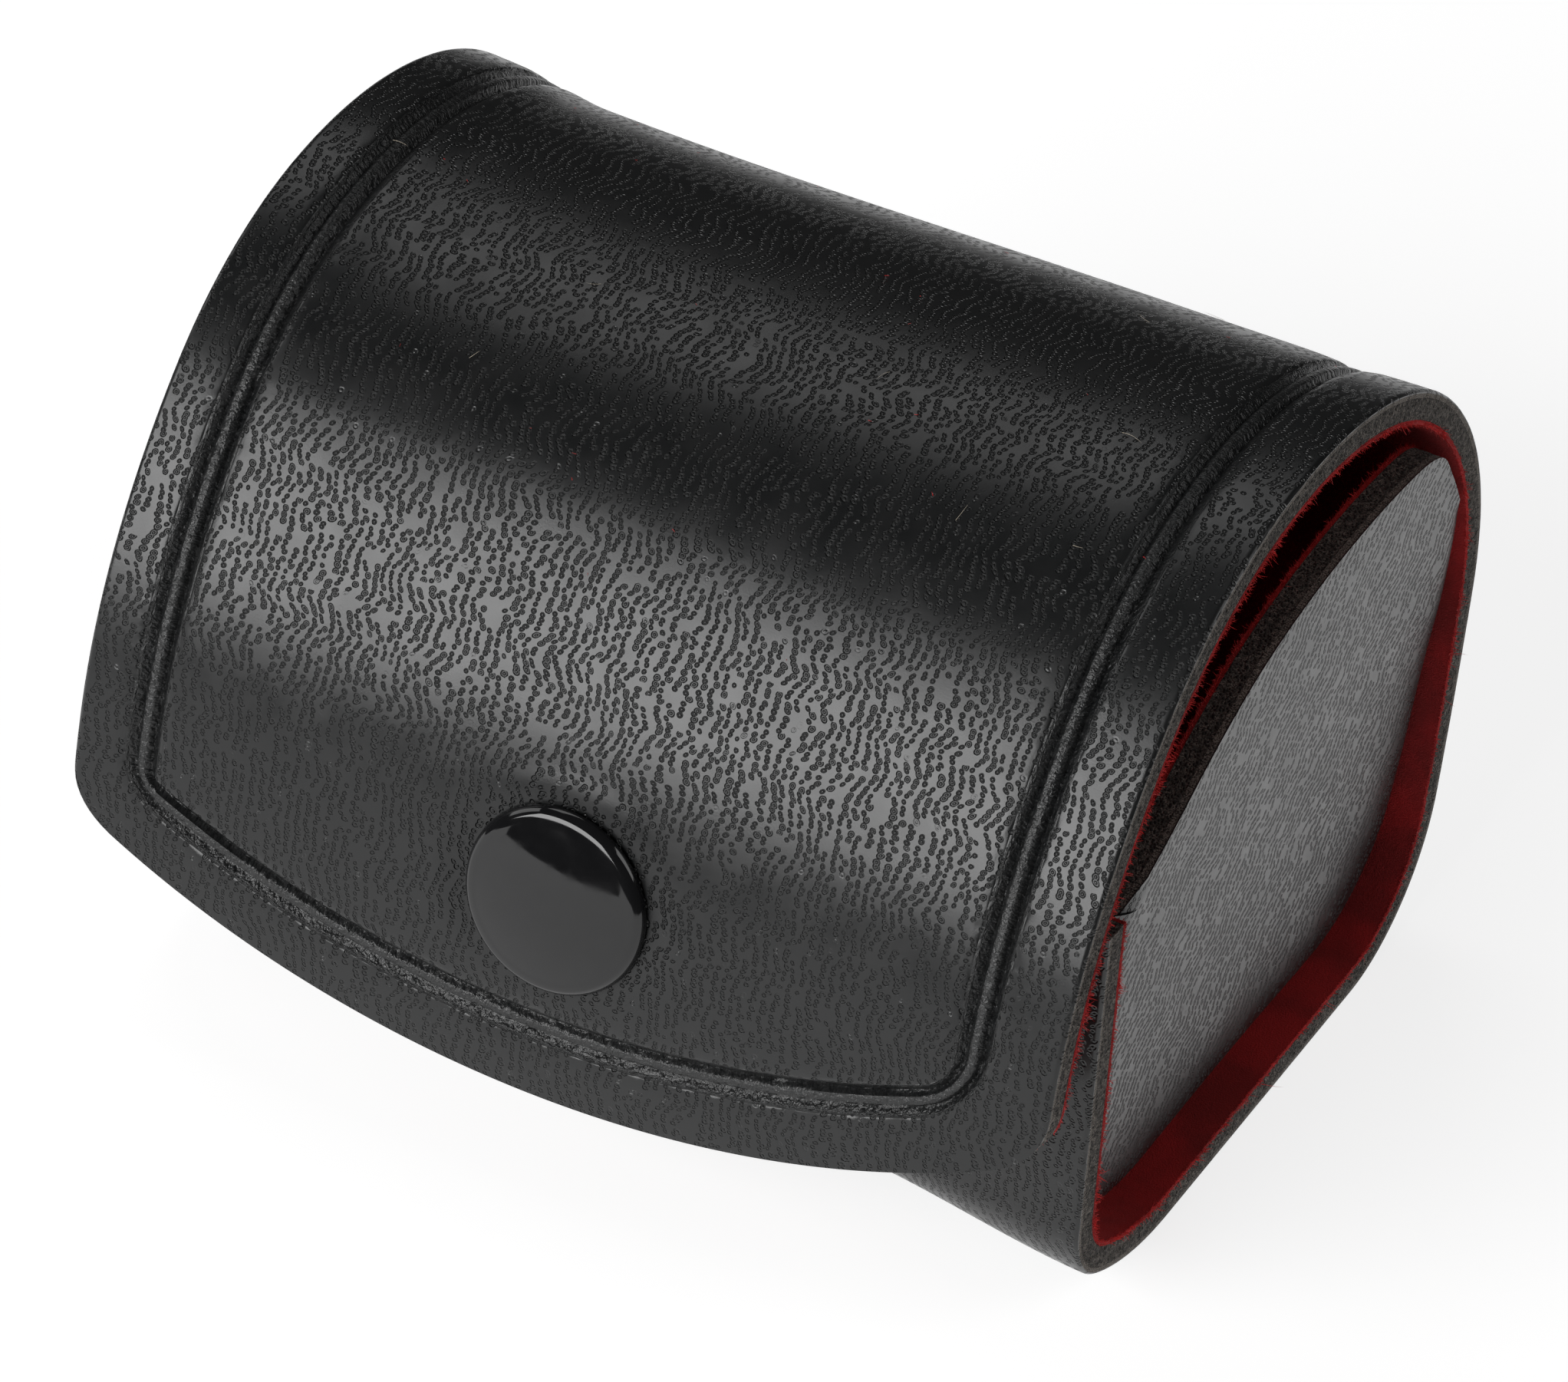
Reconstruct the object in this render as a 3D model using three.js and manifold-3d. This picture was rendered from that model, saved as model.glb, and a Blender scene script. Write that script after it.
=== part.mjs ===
// Small snap-closing jewelry box: one strip of padded leatherette is folded all the way round, from the
// free edge of the front flap, over the lid, down the back, along the bottom and up the front wall.
// Two upright gussets of the same padded sheet close the ends of the tray, and a moulded snap holds the flap.
//
// Millimetres, +X to the right, +Y to the back, +Z up. The origin is the bottom centre of the box's bounds.

import * as THREE from 'three';
import { mergeVertices } from 'three/addons/utils/BufferGeometryUtils.js';
import Module from 'manifold-3d';

const wasm = await Module();
wasm.setup();

// ---- Driving dimensions ----

const WIDTH = 68;

// The padded sheet, from its outside to its inside.
const SHEET_LAYERS = [
  { name: 'skin', thickness: 0.5 },
  { name: 'foam', thickness: 1.4 },
  { name: 'lining', thickness: 0.3 },
];
const GLUE_LINE = 0.02;
const SHEET_THICKNESS = 2.24;

// The strip's outside as a chain of arcs: each run is [length, turn in degrees]. It starts at the lowest
// point of the flap, heading up and a little forward, and ends upright at the top of the front wall.
const STRIP_START_HEADING = 91;
const SNAP_RUN = [14.6, -12];
const STRIP_ZONES = [
  { name: 'flap', runs: [SNAP_RUN, [7.4, -11]] },
  { name: 'flap_bend', runs: [[6.9, -10]] },
  { name: 'lid', runs: [[9, -11], [15.7, -36], [17, -31], [15.7, -34]] },
  { name: 'hinge', runs: [[9, -22]] },
  {
    name: 'tray',
    runs: [[7.5, -18], [15.4, -4], [15.7, -82], [26.1, 0], [10.5, -29], [6.9, -61], [22.8, 0]],
  },
];
const FACET_TURN = 6;

// The flap's free edge, seen from the front.
const FLAP_EDGE_RADIUS = 68;
const FLAP_EDGE_TRIM = 0.1;
const FLAP_CORNER = 3;

// The gussets.
const GUSSET_INSET = 1.2;
const GUSSET_CLEARANCE = 0.1;
// Upper edge, as [distance behind the front wall's outside, height], from front to back.
const GUSSET_TOP = [[2.6, 30.7], [12, 37], [19, 40.4], [27, 42], [36, 42.2], [42.2, 41], [45.4, 37.6], [49, 32]];
const GUSSET_TOP_POINTS = 20;

// The snap.
const CAP_RADIUS = 6.2;
const CAP_RISE = 1.5;
const CAP_RIM = 0.9;
const PIN_RADIUS = 0.9;
const SNAP_GAP = 0.3;
const HOLE_RADIUS = PIN_RADIUS + SNAP_GAP;
const SOCKET_RADIUS = 4.7;
const SOCKET_MOUTH_RADIUS = 3.7;
const SOCKET_WELL_RADIUS = 2.7;
const SOCKET_TOP = -1.4;
const SOCKET_FLOOR = -2.1;
const SOCKET_MOUTH = -4.4;
const PIN_HEAD_RADIUS = 1.8;
const PIN_HEAD_THICKNESS = 0.35;
const SOCKET_SEAT_RADIUS = SOCKET_RADIUS + SNAP_GAP;
const STUD_RADIUS = 4.9;
const STUD_SEAT_RADIUS = STUD_RADIUS + SNAP_GAP;
const STUD_SEAT_DEPTH = 0.7;
const STUD_BASE = 0.6;
const STUD_KNOB_HEIGHT = 1.8;
const STUD_KNOB_RADIUS = 2;
const STUD_NECK_RADIUS = 1.75;
const AXES_CROSS_DEPTH = 3.9;
const TURNED_SIDES = 32;

// ---- Materials ----

const MATERIAL_LOOKS = {
  skin: { color: 0x1b1c1d, roughness: 0.45, metalness: 0 },
  foam: { color: 0x464039, roughness: 0.95, metalness: 0 },
  lining: { color: 0xb01218, roughness: 0.95, metalness: 0 },
  snap: { color: 0x08080a, roughness: 0.12, metalness: 0 },
};

function makeMesh(name, geometry, look) {
  const mesh = new THREE.Mesh(geometry, new THREE.MeshStandardMaterial(MATERIAL_LOOKS[look]));
  mesh.name = name;
  return mesh;
}

// ---- Solids ----

function toManifold(geometry) {
  const bare = geometry.clone();
  bare.deleteAttribute('normal');
  bare.deleteAttribute('uv');
  const merged = mergeVertices(bare, 1e-5);
  const vertProperties = new Float32Array(merged.attributes.position.array);
  const triVerts = new Uint32Array(merged.index.array);
  return new wasm.Manifold(new wasm.Mesh({ numProp: 3, vertProperties, triVerts }));
}

function toGeometry(manifold) {
  const { vertProperties, triVerts } = manifold.getMesh();
  const geometry = new THREE.BufferGeometry();
  geometry.setAttribute('position', new THREE.BufferAttribute(new Float32Array(vertProperties), 3));
  geometry.setIndex(new THREE.BufferAttribute(new Uint32Array(triVerts), 1));
  return geometry;
}

// A shape drawn in the YZ plane, extruded along X.
function extrudeAlongX(shape, fromX, toX) {
  const geometry = new THREE.ExtrudeGeometry(shape, { depth: toX - fromX, bevelEnabled: false });
  const basis = new THREE.Matrix4().makeBasis(
    new THREE.Vector3(0, 1, 0),
    new THREE.Vector3(0, 0, 1),
    new THREE.Vector3(1, 0, 0),
  );
  geometry.applyMatrix4(basis);
  return geometry.translate(fromX, 0, 0);
}

// A shape drawn in the XZ plane, extruded along Y.
function extrudeAlongY(shape, fromY, toY) {
  const geometry = new THREE.ExtrudeGeometry(shape, { depth: toY - fromY, bevelEnabled: false });
  geometry.rotateX(Math.PI / 2);
  return geometry.translate(0, toY, 0);
}

// A closed [radius, height] profile turned about the Z axis.
function turned(profile) {
  const points = profile.map(([radius, height]) => new THREE.Vector2(radius, height));
  return new THREE.LatheGeometry(points, TURNED_SIDES).rotateX(Math.PI / 2);
}

function cylinder(radius, fromZ, toZ) {
  const geometry = new THREE.CylinderGeometry(radius, radius, toZ - fromZ, TURNED_SIDES);
  return geometry.rotateX(Math.PI / 2).translate(0, 0, (fromZ + toZ) / 2);
}

// ---- The strip's path ----

// Stations along the outside of the strip, zone by zone. Each holds its place and its heading in radians.
// Y is measured back from the front wall's outside, and Z up from the bottom.
function walkStrip() {
  const here = { y: 0, z: 0, heading: THREE.MathUtils.degToRad(STRIP_START_HEADING) };
  const zones = STRIP_ZONES.map(({ name, runs }) => ({ name, stations: walkRuns(here, runs) }));
  const stations = zones.flatMap((zone) => zone.stations);
  const bottom = Math.min(...stations.map((station) => station.z));
  const frontFace = here.y;
  for (const station of stations) {
    station.y -= frontFace;
    station.z -= bottom;
  }
  return Object.fromEntries(zones.map((zone) => [zone.name, zone.stations]));
}

function walkRuns(here, runs) {
  const stations = [{ ...here }];
  for (const [length, turn] of runs) {
    const steps = Math.max(1, Math.ceil(Math.abs(turn) / FACET_TURN));
    const stepTurn = THREE.MathUtils.degToRad(turn) / steps;
    const chord = stepTurn === 0 ? length / steps : (length / stepTurn / steps) * 2 * Math.sin(stepTurn / 2);
    for (let step = 0; step < steps; step++) {
      here.y += chord * Math.cos(here.heading + stepTurn / 2);
      here.z += chord * Math.sin(here.heading + stepTurn / 2);
      here.heading += stepTurn;
      stations.push({ ...here });
    }
  }
  return stations;
}

// The point at a depth below the strip's outside, straight in from a station.
function pointAtDepth(station, depth) {
  const y = station.y + depth * Math.sin(station.heading);
  const z = station.z - depth * Math.cos(station.heading);
  return new THREE.Vector2(y, z);
}

const strip = walkStrip();
const flapLowest = strip.flap[0].z + FLAP_EDGE_TRIM;
const snapStation = strip.flap[Math.ceil(Math.abs(SNAP_RUN[1]) / FACET_TURN)];

// ---- The strip's pieces ----

function bandShape(stations, fromDepth, toDepth) {
  const outside = stations.map((station) => pointAtDepth(station, fromDepth));
  const inside = stations.map((station) => pointAtDepth(station, toDepth));
  return new THREE.Shape([...outside, ...inside.reverse()]);
}

function flapEdgeHeight(x) {
  return flapLowest + FLAP_EDGE_RADIUS - Math.sqrt(FLAP_EDGE_RADIUS ** 2 - x ** 2);
}

// The flap seen from the front: straight sides, rounded corners and one shallow arc along the free edge.
function flapOutline() {
  const side = WIDTH / 2;
  const top = strip.flap.at(-1).z + SHEET_THICKNESS;
  const centreHeight = flapLowest + FLAP_EDGE_RADIUS;
  const cornerX = side - FLAP_CORNER;
  const halfAngle = Math.asin(cornerX / FLAP_EDGE_RADIUS);
  const shape = new THREE.Shape();
  shape.moveTo(-side, top);
  shape.lineTo(-side, flapEdgeHeight(side) + FLAP_CORNER);
  shape.quadraticCurveTo(-side, flapEdgeHeight(side), -cornerX, flapEdgeHeight(cornerX));
  shape.absarc(0, centreHeight, FLAP_EDGE_RADIUS, -Math.PI / 2 - halfAngle, -Math.PI / 2 + halfAngle, false);
  shape.quadraticCurveTo(side, flapEdgeHeight(side), side, flapEdgeHeight(side) + FLAP_CORNER);
  shape.lineTo(side, top);
  return shape;
}

function snapFrame() {
  const matrix = new THREE.Matrix4().makeRotationX(snapStation.heading);
  return matrix.setPosition(0, snapStation.y, snapStation.z);
}

function cutFlap(geometry) {
  const reach = WIDTH / 2;
  const outline = toManifold(extrudeAlongY(flapOutline(), -reach, reach));
  const pinHole = cylinder(HOLE_RADIUS, -SHEET_THICKNESS * 2, SHEET_THICKNESS).applyMatrix4(snapFrame());
  const socketSeat = cylinder(SOCKET_SEAT_RADIUS, -SHEET_THICKNESS * 2, SOCKET_TOP + SNAP_GAP);
  socketSeat.applyMatrix4(snapFrame());
  const trimmed = toManifold(geometry).intersect(outline);
  return toGeometry(trimmed.subtract(toManifold(pinHole)).subtract(toManifold(socketSeat)));
}

function cutTray(geometry) {
  const pinHole = cylinder(HOLE_RADIUS, -SHEET_THICKNESS * 2, SHEET_THICKNESS).applyMatrix4(studFrame());
  const studSeat = cylinder(STUD_SEAT_RADIUS, -STUD_SEAT_DEPTH, SHEET_THICKNESS).applyMatrix4(studFrame());
  return toGeometry(toManifold(geometry).subtract(toManifold(pinHole)).subtract(toManifold(studSeat)));
}

const ZONE_CUTS = { flap: cutFlap, tray: cutTray };

function addStripZone(parent, zone) {
  let depth = 0;
  for (const { name, thickness } of SHEET_LAYERS) {
    const shape = bandShape(strip[zone], depth, depth + thickness);
    const blank = extrudeAlongX(shape, -WIDTH / 2, WIDTH / 2);
    const geometry = zone in ZONE_CUTS ? ZONE_CUTS[zone](blank) : blank;
    parent.add(makeMesh(`${zone}_${name}`, geometry, name));
    depth += thickness + GLUE_LINE;
  }
}

// ---- The gussets ----

// The outline follows the inside of the tray and closes with the free upper edge.
function gussetShape() {
  const depth = SHEET_THICKNESS + GUSSET_CLEARANCE;
  const around = strip.tray.map((station) => pointAtDepth(station, depth));
  const topPoints = GUSSET_TOP.map(([y, z]) => new THREE.Vector2(y, z));
  const top = new THREE.SplineCurve(topPoints).getPoints(GUSSET_TOP_POINTS);
  return new THREE.Shape([...around, ...top.slice(1, -1)]);
}

function addGusset(parent, sideName, side) {
  const shape = gussetShape();
  let outer = WIDTH / 2 - GUSSET_INSET;
  for (const { name, thickness } of SHEET_LAYERS) {
    const inner = outer - thickness;
    const geometry = side > 0 ? extrudeAlongX(shape, inner, outer) : extrudeAlongX(shape, -outer, -inner);
    parent.add(makeMesh(`gusset_${sideName}_${name}`, geometry, name));
    outer = inner - GLUE_LINE;
  }
}

// ---- The snap ----

// Each half is drawn about its own axis: height 0 is the sheet's outside, and the cap is on the positive side.

function capProfile(seat, pinEnd) {
  const crown = seat + CAP_RISE;
  const rim = seat + CAP_RIM;
  return [
    [0, crown],
    [CAP_RADIUS * 0.45, crown - 0.08],
    [CAP_RADIUS * 0.8, crown - 0.27],
    [CAP_RADIUS * 0.94, rim + 0.12],
    [CAP_RADIUS, rim - 0.3],
    [CAP_RADIUS, seat + 0.25],
    [CAP_RADIUS - 0.3, seat],
    [PIN_RADIUS, seat],
    ...pinEnd,
  ];
}

// The flap's cap: its pin goes through the flap and spreads into a head inside the socket.
function flapCap() {
  const headTop = SOCKET_FLOOR - SNAP_GAP;
  const headBottom = headTop - PIN_HEAD_THICKNESS;
  const pinEnd = [[PIN_RADIUS, headTop], [PIN_HEAD_RADIUS, headTop], [PIN_HEAD_RADIUS, headBottom], [0, headBottom]];
  return turned(capProfile(SNAP_GAP, pinEnd).reverse());
}

// The socket: a flange pressed into the flap's inside, with a tapered collar around the well.
function socket() {
  return turned([
    [HOLE_RADIUS, SOCKET_FLOOR],
    [SOCKET_WELL_RADIUS, SOCKET_FLOOR],
    [SOCKET_WELL_RADIUS, SOCKET_MOUTH + 0.4],
    [SOCKET_WELL_RADIUS - 0.25, SOCKET_MOUTH + 0.2],
    [SOCKET_WELL_RADIUS, SOCKET_MOUTH],
    [SOCKET_MOUTH_RADIUS, SOCKET_MOUTH],
    [SOCKET_MOUTH_RADIUS + 0.2, SOCKET_FLOOR - 0.4],
    [SOCKET_RADIUS, SOCKET_FLOOR],
    [SOCKET_RADIUS, SOCKET_TOP],
    [HOLE_RADIUS, SOCKET_TOP],
    [HOLE_RADIUS, SOCKET_FLOOR],
  ]);
}

// The stud: a flat base pressed into the front wall, and a hollow knob that snaps into the socket.
function stud() {
  const base = -STUD_SEAT_DEPTH + SNAP_GAP;
  const face = base + STUD_BASE;
  const tip = face + STUD_KNOB_HEIGHT;
  return turned([
    [HOLE_RADIUS, base],
    [STUD_RADIUS, base],
    [STUD_RADIUS, face - 0.2],
    [STUD_RADIUS - 0.2, face],
    [STUD_NECK_RADIUS, face],
    [STUD_NECK_RADIUS, face + 0.7],
    [STUD_KNOB_RADIUS, tip - 0.6],
    [STUD_KNOB_RADIUS - 0.1, tip - 0.2],
    [STUD_KNOB_RADIUS - 0.35, tip],
    [HOLE_RADIUS, tip],
    [HOLE_RADIUS, base],
  ]);
}

// The inner cap, on the red side of the front wall, with its pin through the wall and up the stud's bore.
function backCap() {
  const pinTip = -SHEET_THICKNESS - STUD_BASE - STUD_KNOB_HEIGHT;
  const pinEnd = [[PIN_RADIUS, pinTip], [0, pinTip]];
  return turned(capProfile(SNAP_GAP, pinEnd).reverse());
}

// The stud lies level, and the socket tilts with the flap: their axes cross inside the socket's well.
function studHeight() {
  return pointAtDepth(snapStation, AXES_CROSS_DEPTH).y;
}

function studFrame() {
  const matrix = new THREE.Matrix4().makeRotationX(Math.PI / 2);
  return matrix.setPosition(0, 0, studHeight());
}

function addSnap(parent) {
  const flapSide = new THREE.Group();
  flapSide.applyMatrix4(snapFrame());
  flapSide.add(makeMesh('snap_cap', flapCap(), 'snap'));
  flapSide.add(makeMesh('snap_socket', socket(), 'snap'));
  const wallSide = new THREE.Group();
  wallSide.applyMatrix4(studFrame());
  wallSide.add(makeMesh('snap_stud', stud(), 'snap'));
  const inside = new THREE.Group();
  inside.rotation.x = -Math.PI / 2;
  inside.position.set(0, SHEET_THICKNESS, studHeight());
  inside.add(makeMesh('snap_back_cap', backCap(), 'snap'));
  parent.add(flapSide, wallSide, inside);
}

// ---- Assembly ----

function buildBox() {
  const box = new THREE.Group();
  for (const zone of Object.keys(strip)) {
    addStripZone(box, zone);
  }
  addGusset(box, 'right', 1);
  addGusset(box, 'left', -1);
  addSnap(box);
  box.updateMatrixWorld(true);
  const bounds = new THREE.Box3().setFromObject(box, true);
  const centre = bounds.getCenter(new THREE.Vector3());
  box.position.set(-centre.x, -centre.y, -bounds.min.z);
  return new THREE.Group().add(box);
}

export default buildBox();
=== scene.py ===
import math

import bpy
import numpy as np
from mathutils import Matrix, Vector


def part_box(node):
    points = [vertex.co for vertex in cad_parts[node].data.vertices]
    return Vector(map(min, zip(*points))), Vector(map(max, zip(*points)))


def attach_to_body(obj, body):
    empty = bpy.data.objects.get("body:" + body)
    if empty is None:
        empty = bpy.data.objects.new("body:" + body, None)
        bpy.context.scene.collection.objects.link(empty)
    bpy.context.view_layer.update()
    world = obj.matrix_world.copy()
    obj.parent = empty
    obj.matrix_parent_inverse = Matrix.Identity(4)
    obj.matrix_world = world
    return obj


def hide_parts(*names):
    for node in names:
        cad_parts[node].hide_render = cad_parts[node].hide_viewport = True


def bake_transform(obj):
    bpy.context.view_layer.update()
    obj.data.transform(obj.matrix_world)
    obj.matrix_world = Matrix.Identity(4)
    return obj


# Looks of a snap-closing jewelry box: one folded strip of padded leatherette, two end gussets and a snap.
#
# Shapes are worked out in millimetres, along the same path as the CAD strip, and become metres in each mesh.
# x runs across the strip's width, s along its length from the start of the path at the flap's free edge,
# and depth goes in from the outside.

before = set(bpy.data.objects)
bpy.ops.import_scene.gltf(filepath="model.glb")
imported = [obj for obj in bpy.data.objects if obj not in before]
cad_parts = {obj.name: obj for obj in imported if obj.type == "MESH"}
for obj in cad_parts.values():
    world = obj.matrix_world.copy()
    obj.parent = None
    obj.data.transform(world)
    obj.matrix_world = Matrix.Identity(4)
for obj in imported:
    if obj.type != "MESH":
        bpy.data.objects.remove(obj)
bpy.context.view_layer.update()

# ---- Driving dimensions, in millimetres ----

MM = 0.001
HALF_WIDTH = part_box("lid_skin")[1].x / MM
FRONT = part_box("tray_skin")[0].y / MM

# The strip's outside as a chain of arcs, (length, turn in degrees), as the CAD has it.
START_HEADING = 91
ZONES = {
    "flap": [(14.6, -12), (7.4, -11)],
    "flap_bend": [(6.9, -10)],
    "lid": [(9, -11), (15.7, -36), (17, -31), (15.7, -34)],
    "hinge": [(9, -22)],
    "tray": [(7.5, -18), (15.4, -4), (15.7, -82), (26.1, 0), (10.5, -29), (6.9, -61), (22.8, 0)],
}
PATH_STEP = 0.05
OUTLINE_POINTS = 400

SKIN, FOAM, LINING = 0.5, 1.4, 0.3
GLUE_LINE = 0.02
FOAM_TOP = SKIN + GLUE_LINE
LINING_TOP = FOAM_TOP + FOAM + GLUE_LINE
SHEET = LINING_TOP + LINING
LAYER_DEPTHS = {"skin": (0, SKIN), "foam": (FOAM_TOP, FOAM_TOP + FOAM), "lining": (LINING_TOP, SHEET)}

# The skin's outer corner is worn round along both sides of the strip.
WORN_DEPTH = 0.13
WORN_WIDTH = 0.3

# The flap's free edge, cut a little askew.
FLAP_EDGE_RADIUS = 68
FLAP_CORNER = 3
FLAP_EDGE_TRIM = 0.1
FLAP_SKEW = 0.022

# The double line embossed round the lid: a sunk band with a groove along each side.
BAND_SIDE = 28.9
BAND_SHIFT = -0.5
BAND_FRONT = 5.15
BAND_BACK = 116
BAND_CORNERS = (1.3, 2.8)
BAND_PROFILE = [(0, 0.14), (0.3, 0.18), (0.52, 0.62), (0.6, 0.64), (1.22, 0.08), (1.8, 0)]
BAND_REACH = 1.3
BAND_STRAIGHT_FROM, BAND_STRAIGHT_TO = 14, 40
PUCKER = 0.26
PUCKER_CELL = 0.4
PUCKER_WALL = 0.85
PUCKER_SPREAD = 0.25
PILLOW = 0.1
PILLOW_WIDTH = 2.4

# The middle of the lid has sagged, with a shallow dip towards its left side.
SAG_START, SAG_FULL, SAG_FADE, SAG_END = 38, 56, 80, 93
LID_SAG = 0.5
LID_DIP = 0.7
DIP_FROM, DIP_DEEPEST, DIP_TO = -31, -25, 16

# The front wall's foot is tucked in, least at its right end.
TUCK = 1.5
TUCK_NONE_AT, TUCK_FULL_AT = 35, 16
TUCK_RISE = 11

# The snap, as the CAD has it.
CAP_RADIUS = 6.2
CAP_RISE = 1.5
CAP_RIM_RADIUS = 0.85
CAP_EDGE_SLOPE = 13
CAP_SINK = 0.3
CAP_ARC_POINTS = 16
PIN_RADIUS = 0.9
HOLE_RADIUS = 1.2
SOCKET_RADIUS = 4.7
STUD_RADIUS = 4.9
SOCKET_PRESS = 0.89
STUD_PRESS = 0.45
DISH_SLOPE = 2.4
AXES_CROSS_DEPTH = 3.9

# The gussets.
GUSSET_CLEARANCE = 0.1
GUSSET_TOP = [(2.6, 30.7), (12, 37), (19, 40.4), (27, 42), (36, 42.2), (42.2, 41), (45.4, 37.6), (49, 32)]
GUSSET_INSET = 2.3
GUSSET_FLUSH_HEIGHT = 34
GUSSET_BULGE = 0.06
GUSSET_ROLL = 1.0
GUSSET_ROLL_WIDTH = 1.9
GUSSET_GRAIN_TURN = 35
CORNER_SOFTENING = 9

# Where each piece's random draws start.
LINT_SEED, STRIP_SEED, SIDE_FRINGE_SEED, END_FRINGE_SEED = 7, 10, 40, 60
GUSSET_SEED, GUSSET_FRINGE_SEED = 80, 90

# The fibres of the lining's frayed edges.
FIBRE_RADIUS = 0.022
FIBRE_ROOT = 0.08
FIBRES_ON_SIDES, FIBRES_ON_ENDS = 26, 20
LINT_RADIUS = 0.014


# ---- The strip's path ----

def walk_strip():
    """Distance, y, z and heading along the strip's outside, and where each zone ends."""
    steps, turns, ends = [], [], {}
    for zone, runs in ZONES.items():
        for length, turn in runs:
            count = round(length / PATH_STEP)
            steps += [length / count] * count
            turns += [math.radians(turn) / count] * count
        ends[zone] = sum(steps)
    heading = math.radians(START_HEADING) + np.concatenate([[0], np.cumsum(turns)])
    middle = (heading[:-1] + heading[1:]) / 2
    s = np.concatenate([[0], np.cumsum(steps)])
    y = np.concatenate([[0], np.cumsum(steps * np.cos(middle))])
    z = np.concatenate([[0], np.cumsum(steps * np.sin(middle))])
    return s, y - y[-1] + FRONT, z - z.min(), heading, ends


PATH_S, PATH_Y, PATH_Z, PATH_HEADING, ZONE_END = walk_strip()
SNAP_S = ZONES["flap"][0][0]


def along(s, values):
    """The path's values at distances along it."""
    return np.interp(s, PATH_S, values)


def place(x, s, depth):
    """The row-frame point at a depth below the strip's outside."""
    heading = along(s, PATH_HEADING)
    y = along(s, PATH_Y) + depth * np.sin(heading)
    z = along(s, PATH_Z) - depth * np.cos(heading)
    return np.stack(np.broadcast_arrays(x, y, z), axis=-1)


STUD_HEIGHT = float(place(0, SNAP_S, AXES_CROSS_DEPTH)[2])
STUD_S = ZONE_END["tray"] - (PATH_Z[-1] - STUD_HEIGHT)


# ---- Small helpers ----

def smooth(low, high, value):
    """0 up to low, 1 from high on, and an easy curve between them."""
    t = np.clip((value - low) / (high - low), 0, 1)
    return t * t * (3 - 2 * t)


def value_noise(u, v, seed):
    """Smooth noise from 0 to 1 with a cell of 1."""
    def corner(i, j):
        return np.modf(np.abs(np.sin(i * 127.1 + j * 311.7 + seed * 74.7) * 43758.5453))[0]

    i, j = np.floor(u), np.floor(v)
    a, b = smooth(0, 1, u - i), smooth(0, 1, v - j)
    near = corner(i, j) * (1 - a) + corner(i + 1, j) * a
    far = corner(i, j + 1) * (1 - a) + corner(i + 1, j + 1) * a
    return near * (1 - b) + far * b


def steps_through(*spans):
    """Values from one (start, end, step) span to the next, without doubles."""
    parts = [np.linspace(a, b, max(1, round((b - a) / step)), endpoint=False) for a, b, step in spans]
    return np.concatenate([*parts, [spans[-1][1]]])


# ---- Meshes ----

def make_object(name, points, faces, sheet=None, crease=50):
    """A mesh object from points in millimetres. sheet holds each point's (x, s, depth) for the materials."""
    mesh = bpy.data.meshes.new(name)
    mesh.from_pydata((np.asarray(points) * MM).tolist(), [], [list(map(int, face)) for face in faces])
    mesh.update()
    mesh.shade_smooth()
    mesh.set_sharp_from_angle(angle=math.radians(crease))
    if sheet is not None:
        attribute = mesh.attributes.new("sheet", "FLOAT_VECTOR", "POINT")
        attribute.data.foreach_set("vector", np.asarray(sheet, np.float32).ravel())
    piece = bpy.data.objects.new(name, mesh)
    bpy.context.scene.collection.objects.link(piece)
    return piece


def boundary_of(faces):
    """The directed edges that only one face has."""
    edges = {}
    for face in faces:
        for a, b in zip(face, (*face[1:], face[0])):
            edges[(a, b)] = True
    return [(a, b) for a, b in edges if (b, a) not in edges]


def close_sheet(name, outer, inner, faces, sheet_outer, sheet_inner, levels, fray, seed):
    """A closed solid between two like-numbered skins, with a cut rim that is frayed by up to fray."""
    rng = np.random.default_rng(seed)
    border = boundary_of(faces)
    rim = sorted({a for a, _ in border})
    at = {vertex: k for k, vertex in enumerate(rim)}
    away = np.zeros((len(rim), 3))
    for a, b in border:
        out = np.cross(outer[b] - outer[a], outer[a] - inner[a])
        away[at[a]] += out
        away[at[b]] += out
    away /= np.maximum(np.linalg.norm(away, axis=1, keepdims=True), 1e-9)
    count = len(outer)
    points, sheet = [outer, inner], [sheet_outer, sheet_inner]
    bases = [None]
    for level in range(1, levels):
        t = level / levels
        push = rng.uniform(-0.35, 1, len(rim))[:, None] * fray
        points.append(outer[rim] * (1 - t) + inner[rim] * t + away * push)
        sheet.append(sheet_outer[rim] * (1 - t) + sheet_inner[rim] * t)
        bases.append(2 * count + (level - 1) * len(rim))

    def index(level, vertex):
        if level == 0:
            return vertex
        if level == levels:
            return count + vertex
        return bases[level] + at[vertex]

    all_faces = [tuple(face) for face in faces]
    all_faces += [tuple(count + vertex for vertex in reversed(face)) for face in faces]
    for a, b in border:
        for level in range(levels):
            all_faces.append((index(level, b), index(level, a), index(level + 1, a), index(level + 1, b)))
    return make_object(name, np.vstack(points), all_faces, np.vstack(sheet))


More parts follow.
